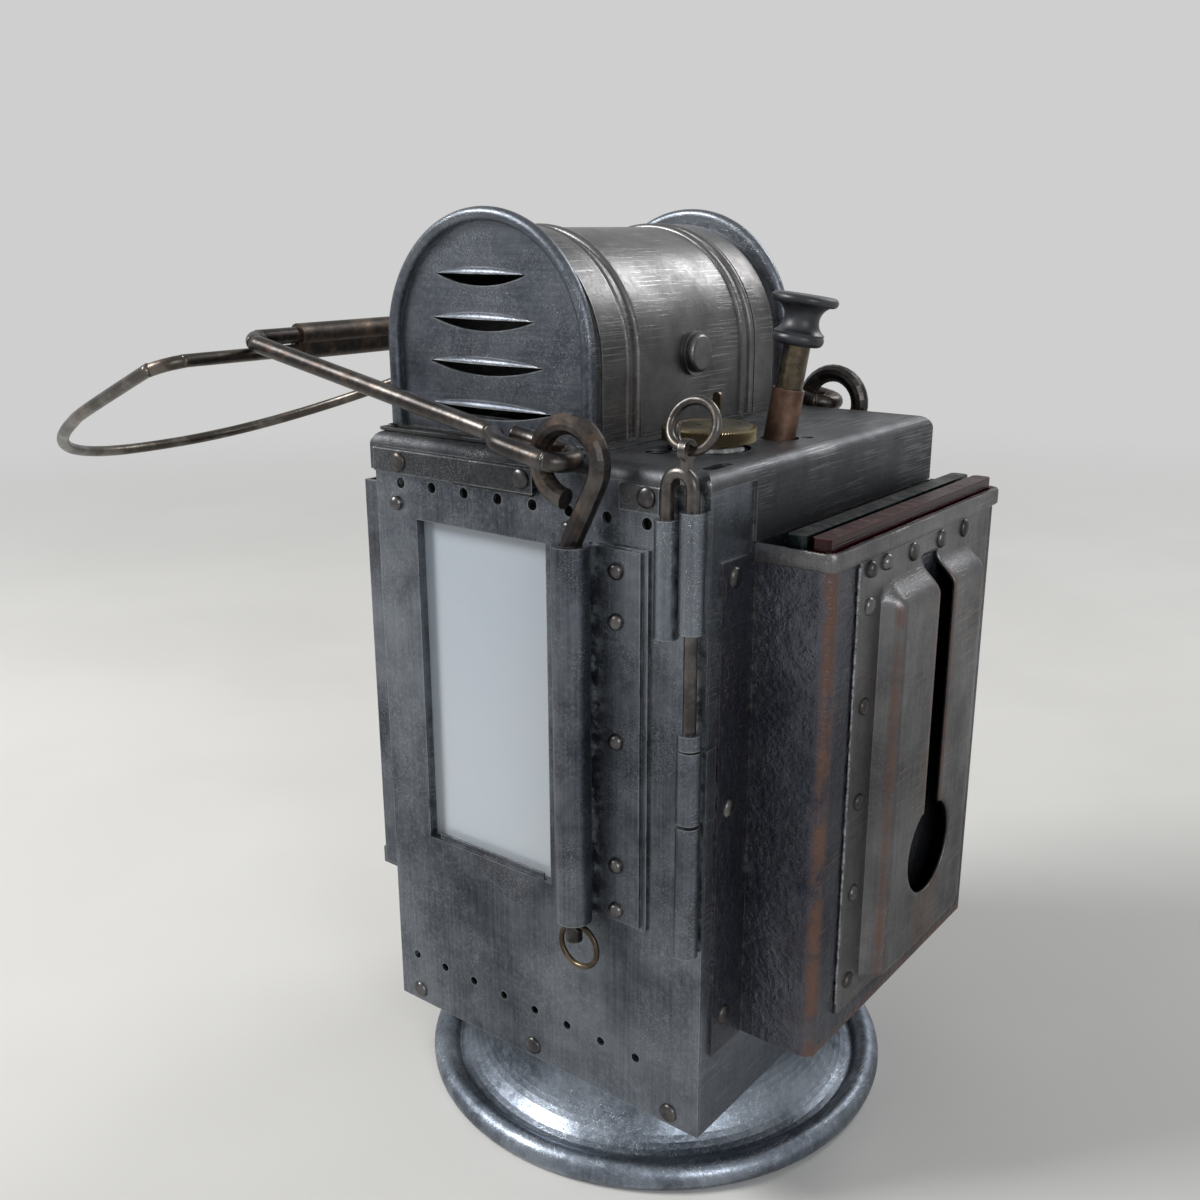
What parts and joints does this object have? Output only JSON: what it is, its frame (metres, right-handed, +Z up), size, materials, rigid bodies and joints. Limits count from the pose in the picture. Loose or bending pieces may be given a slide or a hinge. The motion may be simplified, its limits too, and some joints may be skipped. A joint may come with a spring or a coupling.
{
  "type": "signal lamp",
  "caption": "Portable gas signal lantern with a morse key, barrel chimney, opal side window, box of colour filters, hinged wire handle and round dished foot.",
  "frame": {"origin": "centre of the round foot, on the ground", "axes": "+Z up; -Y out through the opal window; +X out through the filter box; -X along the signal beam"},
  "size_m": [0.2791, 0.1521, 0.236],
  "materials": {
    "galvanised_steel": "mottled, satin",
    "sheet_steel": "aged, satin",
    "oxidised_steel": "aged, browned at the edges",
    "chimney_steel": "brushed, satin",
    "bright_tin": "tinned",
    "iron_wire": "dark, semi-gloss",
    "browned_tin": "oxidised",
    "worn_steel": "worn bright",
    "aged_brass": "aged",
    "copper": "browned",
    "black_knob": "satin",
    "ceramic": "matte",
    "reflector_mirror": "polished",
    "opal_glass": "milky, gloss",
    "clear_glass": "clear, gloss",
    "red_glass": "polished",
    "green_glass": "polished"
  },
  "bodies": {
    "lantern_body": {"foot": "galvanised_steel", "floor_pan": "sheet_steel", "front_plate": "sheet_steel", "rear_wall": "sheet_steel", "signal_wall": "sheet_steel", "side_wall": "sheet_steel", "cap_deck": "sheet_steel", "vent_baffles": "bright_tin", "chimney_base": "chimney_steel", "chimney_barrel": "chimney_steel", "chimney_front_plate": "chimney_steel", "chimney_rear_plate": "chimney_steel", "chimney_boss": "chimney_steel", "opal_pane": "opal_glass", "pane_frame": "sheet_steel", "signal_lens": "clear_glass", "lens_ring": "sheet_steel", "filter_guides": "sheet_steel", "guide_shelf": "sheet_steel", "filter_box": "oxidised_steel", "box_guides": "sheet_steel", "hanger_pan": "oxidised_steel", "front_sleeve": "sheet_steel", "rear_sleeve": "sheet_steel", "front_hook_rod": "iron_wire", "rear_hook_rod": "iron_wire", "pin_tubes": "sheet_steel", "pin_knuckle": "sheet_steel", "body_rivets": "sheet_steel", "filler_neck": "aged_brass", "cap_click_spring": "aged_brass", "key_guide": "copper", "water_tank": "bright_tin", "drip_tube": "copper", "carbide_canister": "bright_tin", "canister_lid": "aged_brass", "gas_valve": "aged_brass", "feed_tube": "copper", "gas_tube": "copper", "burner": "ceramic", "reflector": "reflector_mirror", "reflector_bracket": "sheet_steel", "hinge_knuckles": "sheet_steel", "hinge_pin": "iron_wire", "valve_spring": "iron_wire"},
    "bail": {"bail": "iron_wire", "grip_sleeve": "browned_tin"},
    "hand_loop": {"hand_loop": "iron_wire"},
    "front_stop_ring": {"front_stop_ring": "aged_brass"},
    "rear_stop_ring": {"rear_stop_ring": "aged_brass"},
    "pull_pin": {"pull_pin": "iron_wire"},
    "pull_ring": {"pull_ring": "iron_wire"},
    "filler_cap": {"filler_cap": "aged_brass", "cap_needle": "aged_brass"},
    "morse_key": {"key_knob": "black_knob", "key_rod": "worn_steel"},
    "valve_plunger": {"valve_plunger": "aged_brass"},
    "red_filter": {"red_filter": "red_glass"},
    "green_filter": {"green_filter": "green_glass"},
    "rear_door": {"rear_door": "sheet_steel"}
  },
  "joints": [
    {"name": "bail_swing", "type": "hinge", "parent": "lantern_body", "child": "bail", "pos_m": [0.018, 0, 0.1832], "axis": [0, 1, 0], "range_deg": [0, 130]},
    {"name": "hand_loop_swing", "type": "hinge", "parent": "bail", "child": "hand_loop", "pos_m": [-0.09126, 0, 0.19957], "axis": [0, 1, 0], "range_deg": [-65, 40]},
    {"name": "front_stop_ring_swing", "type": "hinge", "parent": "lantern_body", "child": "front_stop_ring", "pos_m": [0.018, -0.0593, 0.072], "axis": [-0.9659, 0, -0.2588], "range_deg": [-20, 80]},
    {"name": "rear_stop_ring_swing", "type": "hinge", "parent": "lantern_body", "child": "rear_stop_ring", "pos_m": [0.018, 0.0593, 0.072], "axis": [0.9659, 0, 0.2588], "range_deg": [-20, 80]},
    {"name": "pull_pin_slide", "type": "slide", "parent": "lantern_body", "child": "pull_pin", "axis": [0, 0, 1], "range_m": [0, 0.07]},
    {"name": "pull_ring_swing", "type": "hinge", "parent": "pull_pin", "child": "pull_ring", "pos_m": [0.0456, -0.0554, 0.188], "axis": [1, 0, 0], "range_deg": [-60, 10]},
    {"name": "filler_cap_turn", "type": "hinge", "parent": "lantern_body", "child": "filler_cap", "pos_m": [0.031, -0.025, 0.185], "axis": [0, 0, 1], "range_deg": [0, 180]},
    {"name": "morse_key_press", "type": "slide", "parent": "lantern_body", "child": "morse_key", "axis": [-0.1196, -0.0869, -0.989], "range_m": [0, 0.008], "stiffness_N_per_m": 300, "springref_m": -0.004},
    {"name": "valve_plunger_slide", "type": "slide", "parent": "lantern_body", "child": "valve_plunger", "axis": [0, 0, -1], "range_m": [0, 0.008], "deforming": ["valve_spring"]},
    {"name": "red_filter_lift", "type": "slide", "parent": "lantern_body", "child": "red_filter", "axis": [0, 0, 1], "range_m": [0, 0.085]},
    {"name": "green_filter_lift", "type": "slide", "parent": "lantern_body", "child": "green_filter", "axis": [0, 0, 1], "range_m": [0, 0.085]},
    {"name": "rear_door_swing", "type": "hinge", "parent": "lantern_body", "child": "rear_door", "pos_m": [-0.045, 0.05501, 0.11], "axis": [0, 0, 1], "range_deg": [0, 110]}
  ],
  "couplings": [
    {"joint": "valve_plunger_slide", "follows": "morse_key_press", "ratio": 0.98902}
  ]
}
